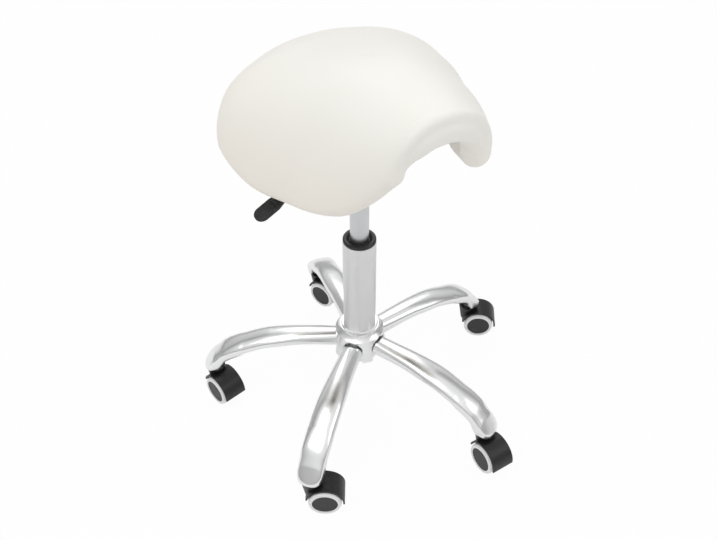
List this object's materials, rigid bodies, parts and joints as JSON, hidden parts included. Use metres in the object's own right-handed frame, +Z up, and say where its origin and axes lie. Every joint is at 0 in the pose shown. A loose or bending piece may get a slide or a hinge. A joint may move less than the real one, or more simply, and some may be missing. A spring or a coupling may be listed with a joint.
{
  "type": "saddle stool",
  "caption": "Height-adjustable saddle stool: padded saddle seat on a gas lift, a lift lever under the seat, and a chrome star base on twin-wheel casters.",
  "frame": {"origin": "On the floor, on the axis of the column, where the wheels stand.", "axes": "+Z up along the column; the sitter faces -Y; +X is at the sitter's left, and the lift lever is on the -X side. The seat is at the top of its travel."},
  "size_m": [0.516, 0.5179, 0.65],
  "materials": {
    "base_chrome": "bright polished chrome plate",
    "column_paint": "silver-grey satin paint",
    "lift_tube": "fine ground steel, lightly oiled",
    "plain_steel": "plain zinc-plated steel",
    "black_paint": "black powder coat",
    "lever_plastic": "moulded, fine matt texture",
    "black_plastic": "moulded nylon, satin",
    "hood_plastic": "moulded nylon, fine texture",
    "disc_plastic": "moulded nylon, satin",
    "tyre_grey": "soft light grey tread",
    "seal_rubber": "matt",
    "seat_cover": "white artificial leather with a fine grain",
    "plywood": "bent plywood, unfinished",
    "lining_fabric": "thin black non-woven cloth"
  },
  "bodies": {
    "root": {"base_hub": "base_chrome", "base_arm_1": "base_chrome", "base_arm_2": "base_chrome", "base_arm_3": "base_chrome", "base_arm_4": "base_chrome", "base_arm_5": "base_chrome", "stem_sleeves": "plain_steel", "caster_1_stem": "plain_steel", "caster_2_stem": "plain_steel", "caster_3_stem": "plain_steel", "caster_4_stem": "plain_steel", "caster_5_stem": "plain_steel", "column_tube": "column_paint", "guide_bush": "black_plastic"},
    "lift_rod": {"piston_rod": "plain_steel", "piston": "black_plastic", "thrust_bearing": "plain_steel", "retaining_clip": "plain_steel"},
    "seat": {"pressure_tube": "lift_tube", "rod_seal": "seal_rubber", "seat_plate": "black_paint", "lever_pin": "plain_steel", "seat_bolts": "plain_steel", "tee_nuts": "plain_steel", "seat_shell": "plywood", "seat_lining": "lining_fabric", "seat_cushion": "seat_cover"},
    "lever": {"lever_rod": "black_paint", "lever_paddle": "lever_plastic"},
    "button": {"release_button": "plain_steel"},
    "caster_1": {"caster_1_hood": "hood_plastic", "caster_1_axle": "plain_steel"},
    "wheel_1_left": {"caster_1_wheel_left": "disc_plastic", "caster_1_tyre_left": "tyre_grey"},
    "wheel_1_right": {"caster_1_wheel_right": "disc_plastic", "caster_1_tyre_right": "tyre_grey"},
    "caster_2": {"caster_2_hood": "hood_plastic", "caster_2_axle": "plain_steel"},
    "wheel_2_left": {"caster_2_wheel_left": "disc_plastic", "caster_2_tyre_left": "tyre_grey"},
    "wheel_2_right": {"caster_2_wheel_right": "disc_plastic", "caster_2_tyre_right": "tyre_grey"},
    "caster_3": {"caster_3_hood": "hood_plastic", "caster_3_axle": "plain_steel"},
    "wheel_3_left": {"caster_3_wheel_left": "disc_plastic", "caster_3_tyre_left": "tyre_grey"},
    "wheel_3_right": {"caster_3_wheel_right": "disc_plastic", "caster_3_tyre_right": "tyre_grey"},
    "caster_4": {"caster_4_hood": "hood_plastic", "caster_4_axle": "plain_steel"},
    "wheel_4_left": {"caster_4_wheel_left": "disc_plastic", "caster_4_tyre_left": "tyre_grey"},
    "wheel_4_right": {"caster_4_wheel_right": "disc_plastic", "caster_4_tyre_right": "tyre_grey"},
    "caster_5": {"caster_5_hood": "hood_plastic", "caster_5_axle": "plain_steel"},
    "wheel_5_left": {"caster_5_wheel_left": "disc_plastic", "caster_5_tyre_left": "tyre_grey"},
    "wheel_5_right": {"caster_5_wheel_right": "disc_plastic", "caster_5_tyre_right": "tyre_grey"}
  },
  "joints": [
    {"name": "seat_turn", "type": "hinge", "parent": "root", "child": "lift_rod", "pos_m": [0, 0, 0.106], "axis": [0, 0, 1], "continuous": true},
    {"name": "height", "type": "slide", "parent": "lift_rod", "child": "seat", "axis": [0, 0, 1], "range_m": [-0.14, 0]},
    {"name": "lever_lift", "type": "hinge", "parent": "seat", "child": "lever", "pos_m": [-0.0357, -0.00464, 0.5559], "axis": [-0.1288, 0.9917, 0], "range_deg": [0, 5], "stiffness_Nm_per_rad": 2, "springref_deg": -11.46},
    {"name": "button_press", "type": "slide", "parent": "seat", "child": "button", "axis": [0, 0, -1], "range_m": [0, 0.0035]},
    {"name": "caster_1_swivel", "type": "hinge", "parent": "root", "child": "caster_1", "pos_m": [0.23678, 0.02405, 0.05], "axis": [0, 0, 1], "continuous": true},
    {"name": "wheel_1_left_spin", "type": "hinge", "parent": "caster_1", "child": "wheel_1_left", "pos_m": [0.25378, 0.01259, 0.025], "axis": [0.5592, 0.829, 0], "continuous": true},
    {"name": "wheel_1_right_spin", "type": "hinge", "parent": "caster_1", "child": "wheel_1_right", "pos_m": [0.25378, 0.01259, 0.025], "axis": [0.5592, 0.829, 0], "continuous": true},
    {"name": "caster_2_swivel", "type": "hinge", "parent": "root", "child": "caster_2", "pos_m": [0.0503, 0.23262, 0.05], "axis": [0, 0, 1], "continuous": true},
    {"name": "wheel_2_left_spin", "type": "hinge", "parent": "caster_2", "child": "wheel_2_left", "pos_m": [0.05797, 0.21362, 0.025], "axis": [0.9272, 0.3746, 0], "continuous": true},
    {"name": "wheel_2_right_spin", "type": "hinge", "parent": "caster_2", "child": "wheel_2_right", "pos_m": [0.05797, 0.21362, 0.025], "axis": [0.9272, 0.3746, 0], "continuous": true},
    {"name": "caster_3_swivel", "type": "hinge", "parent": "root", "child": "caster_3", "pos_m": [-0.2057, 0.11972, 0.05], "axis": [0, 0, 1], "continuous": true},
    {"name": "wheel_3_left_spin", "type": "hinge", "parent": "caster_3", "child": "wheel_3_left", "pos_m": [-0.20144, 0.09967, 0.025], "axis": [0.9781, 0.2079, 0], "continuous": true},
    {"name": "wheel_3_right_spin", "type": "hinge", "parent": "caster_3", "child": "wheel_3_right", "pos_m": [-0.20144, 0.09967, 0.025], "axis": [0.9781, 0.2079, 0], "continuous": true},
    {"name": "caster_4_swivel", "type": "hinge", "parent": "root", "child": "caster_4", "pos_m": [-0.17742, -0.15863, 0.05], "axis": [0, 0, 1], "continuous": true},
    {"name": "wheel_4_left_spin", "type": "hinge", "parent": "caster_4", "child": "wheel_4_left", "pos_m": [-0.15985, -0.16919, 0.025], "axis": [0.515, 0.8572, 0], "continuous": true},
    {"name": "wheel_4_right_spin", "type": "hinge", "parent": "caster_4", "child": "wheel_4_right", "pos_m": [-0.15985, -0.16919, 0.025], "axis": [0.515, 0.8572, 0], "continuous": true},
    {"name": "caster_5_swivel", "type": "hinge", "parent": "root", "child": "caster_5", "pos_m": [0.09604, -0.21776, 0.05], "axis": [0, 0, 1], "continuous": true},
    {"name": "wheel_5_left_spin", "type": "hinge", "parent": "caster_5", "child": "wheel_5_left", "pos_m": [0.09676, -0.23825, 0.025], "axis": [0.9994, 0.0349, 0], "continuous": true},
    {"name": "wheel_5_right_spin", "type": "hinge", "parent": "caster_5", "child": "wheel_5_right", "pos_m": [0.09676, -0.23825, 0.025], "axis": [0.9994, 0.0349, 0], "continuous": true}
  ],
  "couplings": [
    {"joint": "button_press", "follows": "lever_lift", "m_per_rad": 0.04}
  ]
}
